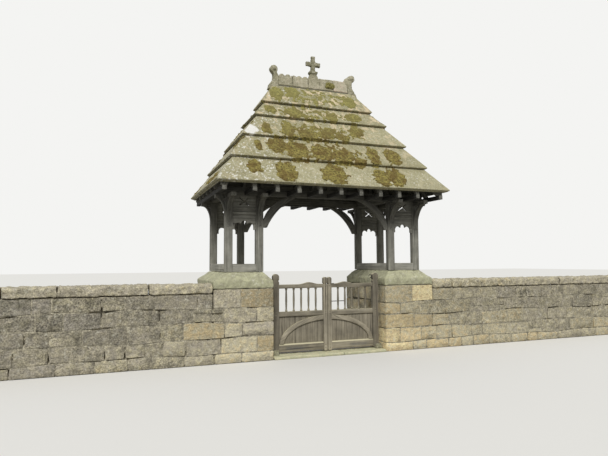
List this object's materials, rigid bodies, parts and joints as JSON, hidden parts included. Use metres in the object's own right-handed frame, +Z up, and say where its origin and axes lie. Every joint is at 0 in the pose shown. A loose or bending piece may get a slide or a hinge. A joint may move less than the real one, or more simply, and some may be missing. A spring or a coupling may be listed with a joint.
{
  "type": "lychgate",
  "caption": "Lychgate with a hipped stone-slate roof on oak frames and stone piers, flanking walls and a pair of inward-opening gates.",
  "frame": {"origin": "on the ground, at the middle of the passage and of the roof's depth", "axes": "+X to the right along the front, +Y into the churchyard, +Z up"},
  "size_m": [14.04, 2.64, 5.48],
  "materials": {
    "rubble_sandstone": "coursed rubble, weathered and lichened",
    "dressed_sandstone": "dressed blocks, greened by algae",
    "stone_slate": "riven slabs with moss and lichen",
    "ridge_stone": "carved, weathered",
    "weathered_oak": "dark weathered",
    "gate_oak": "dark weathered",
    "wrought_iron": "black paint, worn"
  },
  "bodies": {
    "gateway": {"left_pier": "rubble_sandstone", "left_wall": "rubble_sandstone", "right_pier": "rubble_sandstone", "right_wall": "rubble_sandstone", "left_pier_coping": "dressed_sandstone", "left_wall_coping": "dressed_sandstone", "right_pier_coping": "dressed_sandstone", "right_wall_coping": "dressed_sandstone", "threshold_stone": "dressed_sandstone", "front_roof_slope": "stone_slate", "back_roof_slope": "stone_slate", "left_roof_slope": "stone_slate", "right_roof_slope": "stone_slate", "ridge_crest": "ridge_stone", "ridge_terminals": "ridge_stone", "ridge_cross": "ridge_stone", "left_front_posts": "weathered_oak", "left_back_posts": "weathered_oak", "left_sills": "weathered_oak", "right_front_posts": "weathered_oak", "right_back_posts": "weathered_oak", "right_sills": "weathered_oak", "front_wall_plate": "weathered_oak", "front_tracery": "weathered_oak", "back_wall_plate": "weathered_oak", "back_tracery": "weathered_oak", "cross_beams": "weathered_oak", "eave_brackets": "weathered_oak", "arch_braces": "weathered_oak", "eave_joists": "weathered_oak", "common_rafters": "weathered_oak", "end_rafters": "weathered_oak", "ridge_board": "weathered_oak", "gate_pintles": "wrought_iron"},
    "left_gate": {"left_gate_frame": "gate_oak", "left_gate_balusters": "gate_oak", "left_gate_boards": "gate_oak", "left_gate_arch": "gate_oak", "left_gate_hinges": "wrought_iron"},
    "right_gate": {"right_gate_frame": "gate_oak", "right_gate_balusters": "gate_oak", "right_gate_boards": "gate_oak", "right_gate_arch": "gate_oak", "right_gate_hinges": "wrought_iron", "gate_latch": "wrought_iron"}
  },
  "joints": [
    {"name": "left_gate_hinge", "type": "hinge", "parent": "gateway", "child": "left_gate", "pos_m": [-1.008, -0.536, 0.149], "axis": [0, 0, 1], "range_deg": [0, 90]},
    {"name": "right_gate_hinge", "type": "hinge", "parent": "gateway", "child": "right_gate", "pos_m": [1.008, -0.536, 0.149], "axis": [0, 0, -1], "range_deg": [0, 90]}
  ]
}
